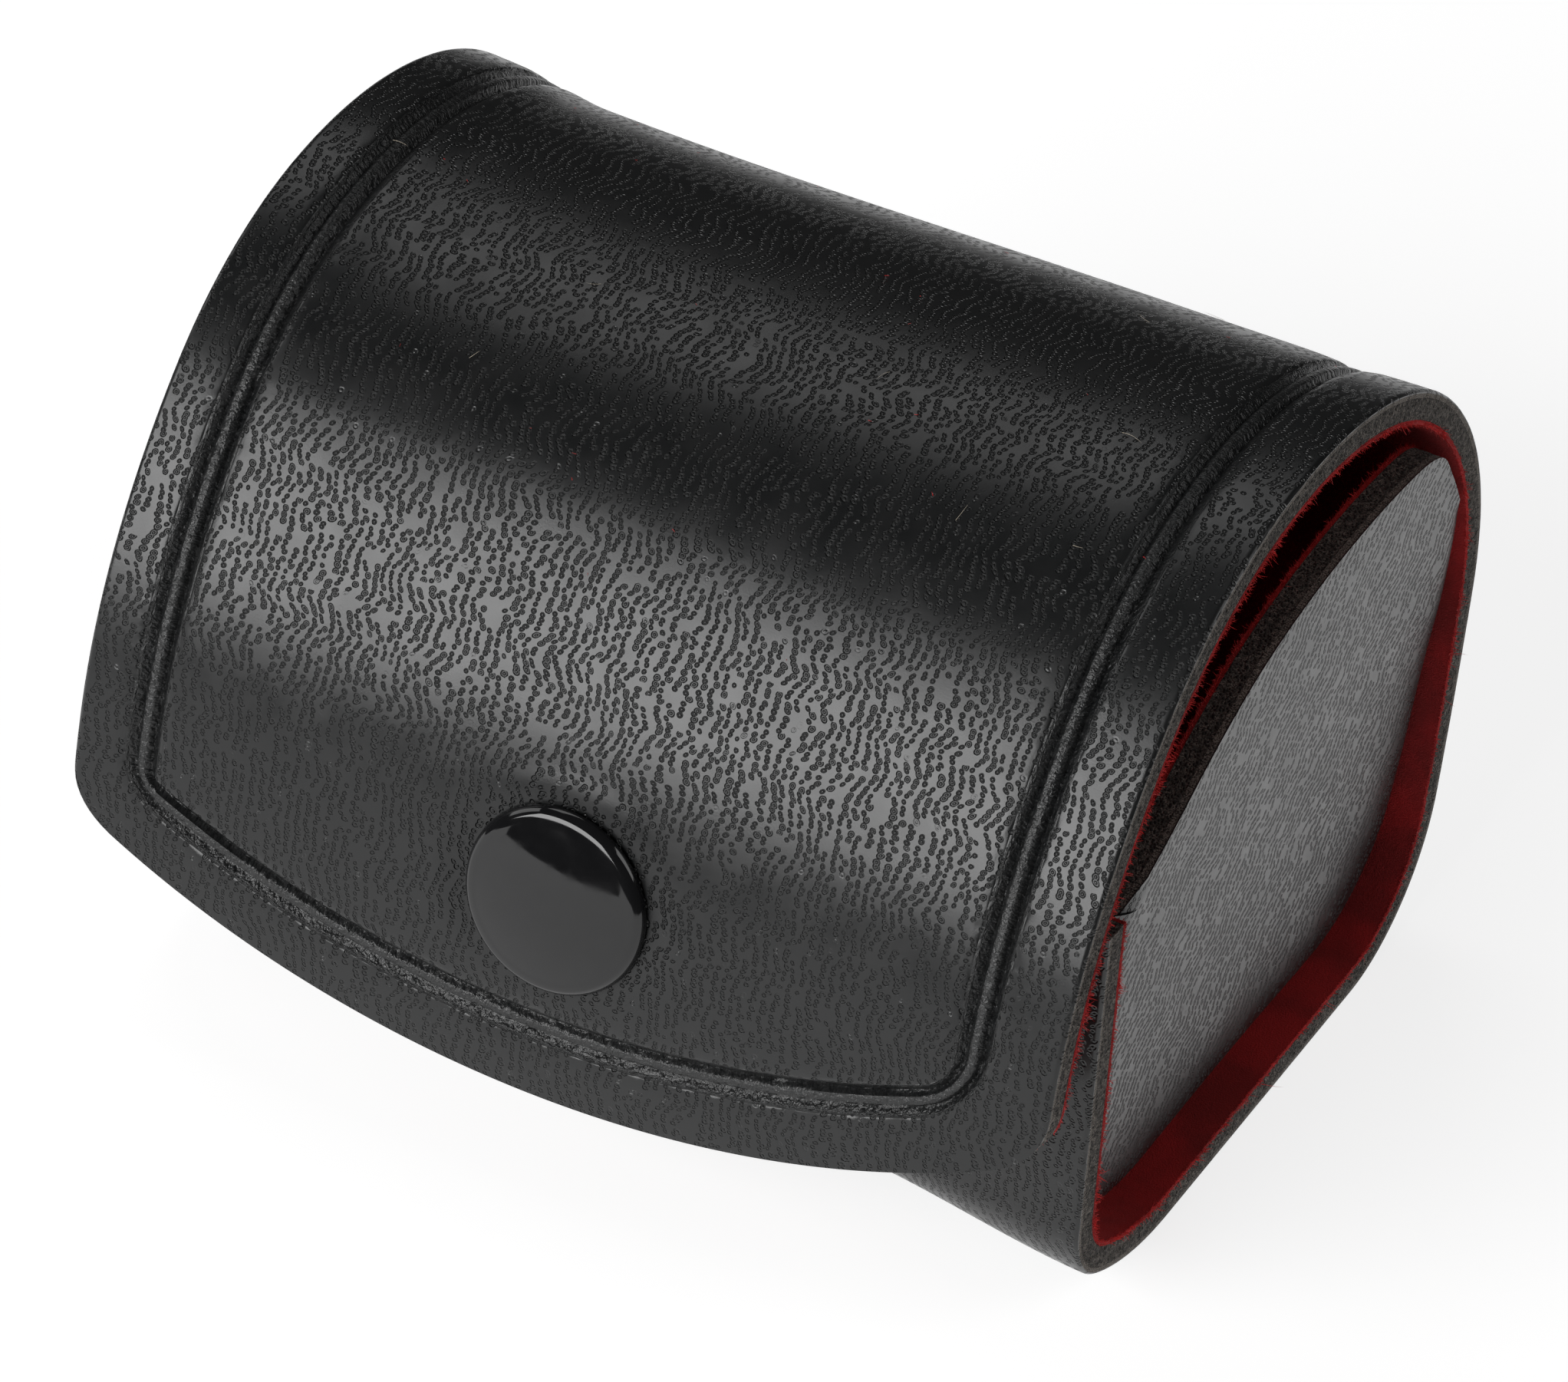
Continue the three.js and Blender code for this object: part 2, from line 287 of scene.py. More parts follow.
def strands(name, roots, directions, bow, lengths, thickness):
    """Fine hairs: three-sided tubes that taper to a point, bowed sideways."""
    rings = 4
    sides = 3
    count = len(roots)
    d = directions / np.linalg.norm(directions, axis=1, keepdims=True)
    helper = np.where(np.abs(d[:, :1]) > 0.7, [[0, 1, 0]], [[1, 0, 0]])
    u = np.cross(d, helper)
    u /= np.linalg.norm(u, axis=1, keepdims=True)
    v = np.cross(d, u)
    points = []
    for ring in range(rings):
        t = ring / rings
        centre = roots + d * (lengths * t)[:, None] + bow * (lengths * t * t)[:, None]
        radius = thickness * (1 - 0.6 * t)
        for side in range(sides):
            angle = 2 * math.pi * side / sides
            points.append(centre + radius * (u * math.cos(angle) + v * math.sin(angle)))
    points.append(roots + d * lengths[:, None] + bow * lengths[:, None])
    per_strand = rings * sides + 1
    all_points = np.stack(points, axis=1).reshape(-1, 3)
    pattern = [tuple(reversed(range(sides)))]
    for ring in range(rings - 1):
        for side in range(sides):
            a = ring * sides + side
            b = ring * sides + (side + 1) % sides
            pattern.append((a, b, b + sides, a + sides))
    tip = per_strand - 1
    last = (rings - 1) * sides
    pattern += [(last + side, last + (side + 1) % sides, tip) for side in range(sides)]
    faces = [tuple(k * per_strand + i for i in face) for k in range(count) for face in pattern]
    return make_object(name, all_points, faces)


def turned(name, profile, matrix, sides=144):
    """A profile of (radius, height) points turned about Z, then placed.

    The profile starts and ends on the axis, or comes back to its first point.
    """
    rings, points = [], []
    closed = profile[0] == profile[-1]
    for radius, height in profile[:-1] if closed else profile:
        if radius < 1e-6:
            rings.append([len(points)] * sides)
            points.append((0, 0, height))
            continue
        rings.append(list(range(len(points), len(points) + sides)))
        for k in range(sides):
            angle = 2 * math.pi * k / sides
            points.append((radius * math.cos(angle), radius * math.sin(angle), height))
    if closed:
        rings.append(rings[0])
    faces = []
    for low, high in zip(rings, rings[1:]):
        for k in range(sides):
            after = (k + 1) % sides
            corners = [low[k], low[after], high[after], high[k]]
            faces.append(tuple(dict.fromkeys(corners)))
    placed = [matrix @ Vector(point) for point in points]
    return make_object(name, np.array(placed), faces, crease=35)


# ---- Materials ----

class Surface:
    """A procedural material under construction."""

    def __init__(self, name):
        self.material = bpy.data.materials.new(name)
        self.material.use_nodes = True
        self.tree = self.material.node_tree
        self.tree.nodes.clear()
        self.shader = self.node("ShaderNodeBsdfPrincipled")
        output = self.node("ShaderNodeOutputMaterial")
        self.tree.links.new(self.shader.outputs[0], output.inputs["Surface"])

    def node(self, kind, inputs=None, **settings):
        made = self.tree.nodes.new(kind)
        for key, value in settings.items():
            setattr(made, key, value)
        for key, value in (inputs or {}).items():
            self.feed(made, key, value)
        return made

    def feed(self, node, key, value):
        if isinstance(value, bpy.types.NodeSocket):
            self.tree.links.new(value, node.inputs[key])
        else:
            node.inputs[key].default_value = value

    def set(self, **values):
        for key, value in values.items():
            self.feed(self.shader, key.replace("_", " "), value)

    def math(self, operation, *values):
        return self.node("ShaderNodeMath", dict(enumerate(values)), operation=operation).outputs[0]

    def vector(self, operation, *values):
        made = self.node("ShaderNodeVectorMath", dict(enumerate(values)), operation=operation)
        return made.outputs["Value" if operation in ("LENGTH", "DOT_PRODUCT") else "Vector"]

    def ramp(self, value, low, high, out_low=0.0, out_high=1.0):
        inputs = {"Value": value, "From Min": low, "From Max": high, "To Min": out_low, "To Max": out_high}
        return self.node("ShaderNodeMapRange", inputs, interpolation_type="SMOOTHSTEP").outputs[0]

    def noise(self, vector, scale, detail=2.0):
        made = self.node("ShaderNodeTexNoise", {"Vector": vector, "Scale": scale, "Detail": detail})
        return made.outputs

    def sheet(self):
        return self.node("ShaderNodeAttribute", attribute_name="sheet").outputs["Vector"]

    def mix(self, factor, first, second):
        inputs = {0: factor, 6: first, 7: second}
        return self.node("ShaderNodeMix", inputs, data_type="RGBA").outputs[2]

    def bump(self, height, depth, normal=None, strength=1.0):
        inputs = {"Height": height, "Distance": depth * MM, "Strength": strength}
        if normal is not None:
            inputs["Normal"] = normal
        return self.node("ShaderNodeBump", inputs).outputs[0]


GRAIN_ROW = 0.7
GRAIN_STEP = 0.36
PIT_RADIUS = 0.225
NUB_RADIUS = 0.12
PIT_DEPTH = 0.13
PUCKER_GRAIN = 0.2
GRAIN_RUN = 1.5
CUT_DEPTH = 0.12
# FOAM_DARK is also the painted shade in the foam's pores.
FOAM_DARK = (0.014, 0.011, 0.009, 1)
FOAM_PALE = (0.2, 0.175, 0.152, 1)
HAIR_SHADE = 0.55


def skin_material():
    """Black leatherette: round pits in wavy rows along the strip, each with a tiny nub, on a satin ground.

    A negative depth in the sheet attribute means that the embossing has pressed the grain flat. Below
    CUT_DEPTH the skin's cut edge shows its foamed backing.
    """
    surface = Surface("black_leatherette")
    at = surface.sheet()
    wave = surface.noise(surface.vector("MULTIPLY", at, (0.12, 0.32, 0)), 1.0, 1.0)["Color"]
    drift = surface.vector("MULTIPLY", surface.vector("SUBTRACT", wave, (0.5, 0.5, 0.5)), (2.4, 0.5, 0))
    warped = surface.vector("ADD", at, drift)
    cells = surface.vector("MULTIPLY", warped, (1 / GRAIN_ROW, 1 / GRAIN_STEP, 0))
    inputs = {"Vector": cells, "Scale": 1.0, "Randomness": 0.5}
    voronoi = surface.node("ShaderNodeTexVoronoi", inputs, voronoi_dimensions="2D")
    centre = voronoi.outputs["Position"]
    offset = surface.vector("SUBTRACT", cells, centre)
    distance = surface.vector("LENGTH", surface.vector("MULTIPLY", offset, (GRAIN_ROW, GRAIN_STEP, 0)))
    chance = surface.node("ShaderNodeSeparateColor", {0: voronoi.outputs["Color"]})
    reach = surface.ramp(chance.outputs["Red"], 0, 1, PIT_RADIUS * 0.75, PIT_RADIUS * 1.1)
    run = surface.noise(surface.vector("MULTIPLY", centre, (1.0, GRAIN_STEP / GRAIN_RUN, 0)), 1.0, 0.0)["Fac"]
    present = surface.ramp(run, 0.32, 0.36)
    share = surface.math("DIVIDE", distance, reach)
    pit = surface.math("MULTIPLY", surface.ramp(share, 1.0, 0.6), present)
    nub = surface.math("MULTIPLY", surface.ramp(distance, NUB_RADIUS, 0.03), present)
    depth = surface.node("ShaderNodeSeparateXYZ", {0: at}).outputs["Z"]
    flattened = surface.ramp(depth, -0.1, -0.6)
    grain = surface.math("SUBTRACT", surface.math("MULTIPLY", nub, 0.9), pit)
    grain = surface.math("MULTIPLY", grain, surface.math("SUBTRACT", 1.0, flattened))
    crumple = surface.math("MULTIPLY", surface.noise(at, 3.4, 3.0)["Fac"], flattened)
    crumpled = surface.bump(crumple, PUCKER_GRAIN)
    fine = surface.noise(at, 9.0, 3.0)["Fac"]
    satin = surface.bump(fine, 0.004, surface.bump(grain, PIT_DEPTH, crumpled))
    cloud = surface.noise(at, 0.35, 4.0)["Fac"]
    ground = surface.ramp(cloud, 0.3, 0.7, 0.27, 0.33)
    roughness = surface.math("ADD", ground, surface.math("MULTIPLY", pit, 0.1))
    face = surface.mix(cloud, (0.0036, 0.0042, 0.0046, 1), (0.0060, 0.0060, 0.0060, 1))
    cut = surface.ramp(depth, CUT_DEPTH * 0.6, CUT_DEPTH)
    speck = surface.ramp(surface.noise(at, 12.0, 3.0)["Fac"], 0.4, 0.62)
    edge = surface.mix(speck, FOAM_DARK, FOAM_PALE)
    surface.set(Base_Color=surface.mix(cut, face, edge), Normal=satin)
    surface.set(Roughness=surface.math("ADD", roughness, surface.math("MULTIPLY", cut, 0.6)))
    surface.set(IOR=1.5)
    return surface.material


def foam_material():
    """The cut edge of the padding: brown-grey open-cell foam, with painted shade in its sunken pores."""
    surface = Surface("cut_foam")
    at = surface.sheet()
    cells = surface.node("ShaderNodeTexVoronoi", {"Vector": at, "Scale": 4.2, "Randomness": 1.0})
    coarse = surface.noise(at, 2.2, 4.0)["Fac"]
    speck = surface.noise(at, 10.0, 3.0)["Fac"]
    pore = surface.ramp(cells.outputs["Distance"], 0.12, 0.5)
    rib = surface.ramp(cells.outputs["Distance"], 0.22, 0.55)
    wall = surface.math("MULTIPLY", rib, surface.ramp(speck, 0.36, 0.62))
    middle = surface.mix(surface.ramp(coarse, 0.35, 0.7), (0.06, 0.052, 0.045, 1), FOAM_PALE)
    # Painted shade: FOAM_DARK fills the sunken pores, where the foam is shaded, and random dark specks on the
    # cell walls.
    colour = surface.mix(wall, FOAM_DARK, middle)
    height = surface.math("ADD", pore, speck)
    surface.set(Base_Color=colour, Roughness=0.95, Normal=surface.bump(height, 0.16))
    return surface.material


def velvet_material():
    """The red flocked lining."""
    surface = Surface("red_velvet")
    at = surface.sheet()
    nap = surface.noise(at, 0.22, 3.0)["Fac"]
    pile = surface.noise(at, 11.0, 2.0)["Fac"]
    colour = surface.mix(surface.ramp(nap, 0.35, 0.68), (0.2, 0.0015, 0.0018, 1), (0.36, 0.004, 0.005, 1))
    surface.set(Base_Color=colour, Roughness=0.9, Normal=surface.bump(pile, 0.16))
    surface.set(Sheen_Weight=0.25, Sheen_Roughness=0.4, Sheen_Tint=(1.0, 0.05, 0.04, 1))
    return surface.material


def hair_material(name, colour, sheen):
    """Loose fibres, each a little lighter or darker along its length."""
    surface = Surface(name)
    at = surface.node("ShaderNodeTexCoord").outputs["Object"]
    patch = surface.noise(at, 900.0, 1.0)["Fac"]
    dark = (*(channel * HAIR_SHADE for channel in colour), 1)
    surface.set(Base_Color=surface.mix(patch, dark, (*colour, 1)), Roughness=0.8)
    surface.set(Sheen_Weight=sheen, Sheen_Roughness=0.5)
    return surface.material


def snap_material():
    """Polished black plastic with the faintest moulding waviness and dust haze."""
    surface = Surface("polished_black")
    at = surface.node("ShaderNodeTexCoord").outputs["Object"]
    wave = surface.noise(at, 260.0, 1.0)["Fac"]
    haze = surface.noise(at, 700.0, 3.0)["Fac"]
    roughness = surface.ramp(haze, 0.35, 0.75, 0.05, 0.12)
    surface.set(Base_Color=surface.mix(haze, (0.003, 0.003, 0.0034, 1), (0.006, 0.006, 0.0065, 1)))
    surface.set(Roughness=roughness, Normal=surface.bump(wave, 0.02), IOR=1.52)
    return surface.material


MATERIALS = {
    "skin": skin_material(),
    "foam": foam_material(),
    "lining": velvet_material(),
    "snap": snap_material(),
    "fringe": hair_material("red_fibre", (0.74, 0.016, 0.014), 0.3),
    "lint": hair_material("pale_lint", (0.55, 0.48, 0.38), 0.2),
}


def dress(piece, look):
    """Gives a piece its material. The lint isn't part of the box."""
    piece.data.materials.append(MATERIALS[look])
    return piece


# ---- The strip's shape ----

def edge_height(x):
    """How far up the flap its free edge lies."""
    reach = np.minimum(np.abs(x), HALF_WIDTH)
    arc = FLAP_EDGE_RADIUS - np.sqrt(FLAP_EDGE_RADIUS**2 - reach**2)
    return FLAP_EDGE_TRIM + arc + FLAP_SKEW * x


def flap_grid(columns, rows):
    """Grid lines that follow the flap's rounded free edge and straighten further up."""
    corner_x = HALF_WIDTH - FLAP_CORNER
    side = np.sign(columns)
    t = np.clip((np.abs(columns) - corner_x) / FLAP_CORNER, 0, 1)
    rounded_x = (1 - t) ** 2 * corner_x + 2 * t * (1 - t) * HALF_WIDTH + t**2 * HALF_WIDTH
    edge_x = np.where(t > 0, side * rounded_x, columns)
    low, high = edge_height(side * corner_x), edge_height(side * HALF_WIDTH)
    rounded_s = (1 - t) ** 2 * low + 2 * t * (1 - t) * high + t**2 * (high + FLAP_CORNER)
    edge_s = np.where(t > 0, rounded_s, edge_height(columns))
    column, row = np.meshgrid(columns, rows)
    straight = smooth(0, 9, row)
    x = edge_x + (column - edge_x) * straight
    s = edge_s * (1 - smooth(4, 28, row)) + row
    return x, s


def band_distance(x, s):
    """Distance outwards from the middle of the embossed band, negative inside its frame."""
    follow = edge_height(x) * (1 - smooth(BAND_STRAIGHT_FROM, BAND_STRAIGHT_TO, s))
    centre = (BAND_FRONT + BAND_BACK) / 2
    half = (BAND_BACK - BAND_FRONT) / 2
    radius = np.where(x < 0, *BAND_CORNERS)
    across = np.abs(x - BAND_SHIFT) - BAND_SIDE + radius
    down = np.abs(s - follow - centre) - half + radius
    corner = np.hypot(np.maximum(across, 0), np.maximum(down, 0))
    return corner + np.minimum(np.maximum(across, down), 0) - radius


def embossing(x, s):
    """Depth pressed into the skin by the double line, with its outer walls puckered."""
    d = band_distance(x, s)
    pucker = value_noise(x / PUCKER_CELL, s / PUCKER_CELL, 3) - 0.5
    ragged = np.abs(d) + 0.25 * pucker * smooth(0.4, 0.7, np.abs(d))
    pressed = np.interp(ragged, *zip(*BAND_PROFILE))
    wall = np.exp(-(((np.abs(d) - PUCKER_WALL) / PUCKER_SPREAD) ** 2))
    pillow = PILLOW * np.exp(-((d / PILLOW_WIDTH) ** 2))
    return pressed + PUCKER * wall * pucker + pillow


def snap_dish(x, s):
    """The skin pressed flat under the cap."""
    run = s - SNAP_S
    curve = math.radians(-ZONES["flap"][0][1]) / ZONES["flap"][0][0]
    flat = CAP_SINK - run**2 * curve / 2
    return flat * (1 - smooth(CAP_RADIUS - 0.1, CAP_RADIUS + DISH_SLOPE, np.hypot(x, run)))


def stud_dish(x, s):
    """How far the stud's flange presses the skin of the front wall inwards."""
    return STUD_PRESS * (1 - smooth(STUD_RADIUS + 0.15, STUD_RADIUS + 0.9, np.hypot(x, s - STUD_S)))


def socket_dish(x, s):
    """How far the socket's flange presses the lining and foam outwards."""
    return SOCKET_PRESS * (1 - smooth(SOCKET_RADIUS + 0.1, SOCKET_RADIUS + 1.5, np.hypot(x, s - SNAP_S)))


def sag(x, s):
    """How far the lid has sunk."""
    window = smooth(SAG_START, SAG_FULL, s) * (1 - smooth(SAG_FADE, SAG_END, s))
    dip = smooth(DIP_FROM, DIP_DEEPEST, x) * (1 - smooth(DIP_DEEPEST, DIP_TO, x))
    return window * (LID_SAG * (1 - (x / HALF_WIDTH) ** 2) + LID_DIP * dip)


def tuck(x, s):
    """How far the foot of the front wall is tucked in."""
    foot = PATH_S[-1] - sum(length for length, _ in ZONES["tray"][4:])
    wall = PATH_S[-1] - ZONES["tray"][-1][0]
    window = smooth(foot - 2, foot + 10, s) * (1 - smooth(wall, wall + TUCK_RISE, s))
    return TUCK * window * (1 - smooth(TUCK_FULL_AT, TUCK_NONE_AT, x))


def layer_depths(layer, x, s):
    """Depths of a layer's outer and inner faces, with all that presses on them."""
    pressed = embossing(x, s) + snap_dish(x, s) + stud_dish(x, s)
    lifted = socket_dish(x, s)
    drop = sag(x, s) + tuck(x, s)
    if layer == "skin":
        worn = WORN_DEPTH * np.clip(1 - (HALF_WIDTH - np.abs(x)) / WORN_WIDTH, 0, 1) ** 2
        return pressed + worn + drop, SKIN + pressed + drop
    if layer == "foam":
        return FOAM_TOP + pressed + drop, FOAM_TOP + FOAM - lifted + drop
    return LINING_TOP - lifted + drop, SHEET - lifted + drop


def grid_faces(rows, columns, keep):
    """Quads of a grid, row by row, where keep says so."""
    index = np.arange(rows * columns).reshape(rows, columns)
    corners = [index[:-1, :-1], index[:-1, 1:], index[1:, 1:], index[1:, :-1]]
    faces = np.stack([corner.ravel() for corner in corners], axis=1)
    return [tuple(face) for face in faces[keep.ravel()].tolist()]


def strip_layer(name, layer, x, s, levels, fray, seed):
    """One layer of a stretch of the strip, with the snap's two holes left out."""
    outer_depth, inner_depth = layer_depths(layer, x, s)
    outer = place(x, s, outer_depth).reshape(-1, 3)
    inner = place(x, s, inner_depth).reshape(-1, 3)
    top, bottom = LAYER_DEPTHS[layer]
    flattened = 1 - smooth(BAND_REACH * 0.75, BAND_REACH, np.abs(band_distance(x, s)))
    sheet_outer = np.stack([x, s, top - flattened * (layer == "skin")], axis=-1).reshape(-1, 3)
    sheet_inner = np.stack([x, s, x * 0 + bottom], axis=-1).reshape(-1, 3)
    middle_x = (x[:-1, :-1] + x[1:, 1:]) / 2
    middle_s = (s[:-1, :-1] + s[1:, 1:]) / 2
    hole = np.minimum(np.hypot(middle_x, middle_s - SNAP_S), np.hypot(middle_x, middle_s - STUD_S))
    faces = grid_faces(*x.shape, hole > HOLE_RADIUS)
    piece = close_sheet(name, outer, inner, faces, sheet_outer, sheet_inner, levels, fray, seed)
    return dress(piece, layer)


RIM_STEP, SIDE_STEP, BAND_STEP = 0.1, 0.3, 0.13


def columns_for(middle_step):
    """Grid lines across the skin, close together at its rims and over the embossed band."""
    left, right = BAND_SHIFT - BAND_SIDE, BAND_SHIFT + BAND_SIDE
    reach = BAND_REACH + 0.35
    rim = HALF_WIDTH - 0.5
    return steps_through(
        (-HALF_WIDTH, -rim, RIM_STEP),
        (-rim, left - reach, SIDE_STEP),
        (left - reach, left + reach, BAND_STEP),
        (left + reach, right - reach, middle_step),
        (right - reach, right + reach, BAND_STEP),
        (right + reach, rim, SIDE_STEP),
        (rim, HALF_WIDTH, RIM_STEP),
    )


# Grid lines across the foam and the lining.
PLAIN_COLUMNS = steps_through(
    (-HALF_WIDTH, -HALF_WIDTH + 1, 0.25),
    (-HALF_WIDTH + 1, HALF_WIDTH - 1, 0.9),
    (HALF_WIDTH - 1, HALF_WIDTH, 0.25),
)

# The visual strip is cut a little past the CAD's bending zones. Rows are (start, end, step) spans of s.
LID_FROM = ZONE_END["flap_bend"] + 1.5
TRAY_FROM = ZONE_END["hinge"] + 2.5
STRIP_END = ZONE_END["tray"]
SHEETS = {
    "flap_sheet": {
        "zones": ["flap", "flap_bend"],
        "skin_rows": steps_through((0, 0.4, 0.1), (0.4, 3.8, 0.3), (3.8, 6.7, 0.12), (6.7, LID_FROM, 0.33)),
        "rows": steps_through((0, LID_FROM, 0.35)),
        "middle_step": 0.2,
    },
    "lid_sheet": {
        "zones": ["lid", "hinge"],
        "skin_rows": steps_through((LID_FROM, TRAY_FROM, 0.36)),
        "rows": steps_through((LID_FROM, TRAY_FROM, 0.36)),
        "middle_step": 0.8,
    },
    "tray_sheet": {
        "zones": ["tray"],
        "skin_rows": steps_through(
            (TRAY_FROM, BAND_BACK - 1.5, 0.4),
            (BAND_BACK - 1.5, BAND_BACK + 1.5, 0.14),
            (BAND_BACK + 1.5, STRIP_END, 0.4),
        ),
        "rows": steps_through((TRAY_FROM, STRIP_END, 0.36)),
        "middle_step": 0.5,
    },
}

# Each layer's levels through its cut rim, and how far the rim is frayed.
LAYER_RIMS = {"skin": (4, 0.015), "foam": (7, 0.09), "lining": (3, 0.1)}


def sheet_grid(name, columns, rows):
    """The x and s of every grid point of a stretch."""
    if name == "flap_sheet":
        return flap_grid(columns, rows)
    return np.meshgrid(columns, rows)


def hinge_point(s):
    """A point in the middle of the sheet, in metres, where a bend starts or ends."""
    return Vector(place(0, s, SHEET / 2)) * MM


def attach(piece, name):
    """Rides the tray's stretch on the tray's body; the flap's and lid's stretches have their placement baked
    into their points and ride on no body.
    """
    if name == "tray_sheet":
        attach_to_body(piece, "tray")
    elif name == "lid_sheet":
        hinge_point(ZONE_END["hinge"])
        hinge_point(ZONE_END["lid"])
        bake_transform(piece)
    else:
        start, end = hinge_point(ZONE_END["flap_bend"]), hinge_point(ZONE_END["flap"])
        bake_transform(piece)


def make_strip():
    """The strip in three stretches of three layers each."""
    for number, (name, plan) in enumerate(SHEETS.items()):
        for layer, (levels, fray) in LAYER_RIMS.items():
            columns = columns_for(plan["middle_step"]) if layer == "skin" else PLAIN_COLUMNS
            rows = plan["skin_rows"] if layer == "skin" else plan["rows"]
            x, s = sheet_grid(name, columns, rows)
            piece = strip_layer(f"{name}_{layer}", layer, x, s, levels, fray, STRIP_SEED + number)
            attach(piece, name)
            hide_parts(*[f"{zone}_{layer}" for zone in plan["zones"]])


# ---- The frayed velvet edge ----

ACROSS = np.array([[1.0, 0, 0]])


def directions_at(s):
    """The strip's forward and inward directions, one row for each distance along it."""
    heading = along(s, PATH_HEADING)
    forward = np.stack([heading * 0, np.cos(heading), np.sin(heading)], axis=1)
    inward = np.stack([heading * 0, np.sin(heading), -np.cos(heading)], axis=1)
    return forward, inward


def length_along(steps):
    """The distance from the first point to each point, from the lengths of the steps between them."""
    return np.concatenate([[0], np.cumsum(steps)])


def edge_fringe(name, x, s, away, per_mm, seed):
    """Hairs along an edge of the lining: x and s give the edge, away its outward direction on the sheet."""
    rng = np.random.default_rng(seed)
    length = length_along(np.hypot(np.diff(x), np.diff(s)))
    count = int(length[-1] * per_mm)
    at = rng.uniform(0, length[-1], count)
    clump = value_noise(at / 1.3, at * 0, seed)
    x, s = np.interp(at, length, x), np.interp(at, length, s)
    away_x, away_s = np.interp(at, length, away[0]), np.interp(at, length, away[1])
    depth = rng.uniform(LINING_TOP + 0.02, SHEET + 0.05, count) + sag(x, s) + tuck(x, s)
    roots = place(x - away_x * FIBRE_ROOT, s - away_s * FIBRE_ROOT, depth)
    forward, inward = directions_at(s)
    lean = rng.normal(0, 0.55, (count, 2))
    direction = away_x[:, None] * ACROSS + away_s[:, None] * forward
    direction = direction + lean[:, :1] * forward + ACROSS * lean[:, :1] * away_s[:, None]
    direction = direction + (lean[:, 1:] + 0.25) * inward
    bow = rng.normal(0, 0.28, (count, 3))
    lengths = rng.uniform(0.15, 0.4, count) * (0.6 + 0.9 * clump)
    lengths = np.where(rng.uniform(0, 1, count) > 0.985, lengths * 2, lengths)
    return dress(strands(name, roots, direction, bow, lengths, FIBRE_RADIUS), "fringe")


def make_fringes():
    """Hairs along both sides of each stretch of the strip, and along the strip's two ends."""
    for number, (name, plan) in enumerate(SHEETS.items()):
        x, s = sheet_grid(name, PLAIN_COLUMNS, plan["rows"])
        for side, column, sign in (("left", 0, -1.0), ("right", -1, 1.0)):
            away = (np.full(len(x), sign), np.zeros(len(x)))
            seed = SIDE_FRINGE_SEED + number * 4 + column
            edge = (x[:, column], s[:, column])
            piece = edge_fringe(f"{name}_fringe_{side}", *edge, away, FIBRES_ON_SIDES, seed)
            attach(piece, name)
    ends = {"flap_sheet": (0, -1.0), "tray_sheet": (-1, 1.0)}
    for number, (name, (row, sign)) in enumerate(ends.items()):
        x, s = sheet_grid(name, PLAIN_COLUMNS, SHEETS[name]["rows"])
        away = (np.zeros(x.shape[1]), np.full(x.shape[1], sign))
        seed = END_FRINGE_SEED + number
        piece = edge_fringe(f"{name}_fringe_end", x[row], s[row], away, FIBRES_ON_ENDS, seed)
        attach(piece, name)


# Name: look, count, shortest and longest.
SETTLED_FIBRES = {
    "pale_fibres": ("lint", 9, 0.7, 1.5),
    "red_fluff": ("fringe", 26, 0.1, 0.35),
}
SETTLED_WITHIN = 30


def make_lint():
    """A few short fibres that have settled on the leatherette."""
    rng = np.random.default_rng(LINT_SEED)
    for name, (look, count, shortest, longest) in SETTLED_FIBRES.items():
        x = rng.uniform(-SETTLED_WITHIN, SETTLED_WITHIN, count)
        s = rng.uniform(ZONE_END["flap_bend"] + 4, ZONE_END["lid"] - 8, count)
        roots = place(x, s, -0.03 + sag(x, s))
        forward, inward = directions_at(s)
        turn = rng.uniform(0, 2 * math.pi, count)[:, None]
        direction = ACROSS * np.cos(turn) + forward * np.sin(turn) - inward * 0.06
        bow = (forward * np.cos(turn) - ACROSS * np.sin(turn)) * rng.uniform(-0.6, 0.6, (count, 1))
        lengths = rng.uniform(shortest, longest, count)
        piece = strands(name, roots, direction, bow, lengths, LINT_RADIUS)
        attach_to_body(dress(piece, look), "lid")


# ---- The gussets ----

def spline_through(knots, per_span):
    """Points on a uniform Catmull-Rom spline through the knots."""
    knots = np.array(knots, float)
    padded = np.vstack([knots[0], knots, knots[-1]])
    points = []
    for k in range(len(knots) - 1):
        a, b, c, d = padded[k : k + 4]
        for t in np.linspace(0, 1, per_span, endpoint=False):
            v1, v2 = (c - a) / 2, (d - b) / 2
            cubic = (2 * b - 2 * c + v1 + v2) * t**3 + (-3 * b + 3 * c - 2 * v1 - v2) * t**2
            points.append(cubic + v1 * t + b)
    return np.array([*points, knots[-1]])


def resample(line, step):
    """Evenly spaced points along a line of (y, z) points."""
    length = length_along(np.linalg.norm(np.diff(line, axis=0), axis=1))
    at = np.linspace(0, length[-1], max(2, round(length[-1] / step)))
    return np.stack([np.interp(at, length, line[:, k]) for k in range(2)], axis=1)


def gusset_outline(side):
    """The glued border and then the free upper edge, as (y, z), and how free each point is."""
    s = np.linspace(ZONE_END["hinge"], STRIP_END, OUTLINE_POINTS)
    glued = resample(place(0, s, SHEET + GUSSET_CLEARANCE + tuck(side * HALF_WIDTH, s))[:, 1:], 0.4)
    top = resample(spline_through(GUSSET_TOP, 12) + [FRONT, 0], 0.3)
    outline = np.vstack([glued, top[1:-1]])
    free = np.concatenate([np.zeros(len(glued)), np.ones(len(top) - 2)])
    half = CORNER_SOFTENING
    wrapped = np.concatenate([free[-half:], free, free[:half]])
    free = np.convolve(wrapped, np.ones(2 * half + 1) / (2 * half + 1), mode="valid")
    return outline, free, len(glued)


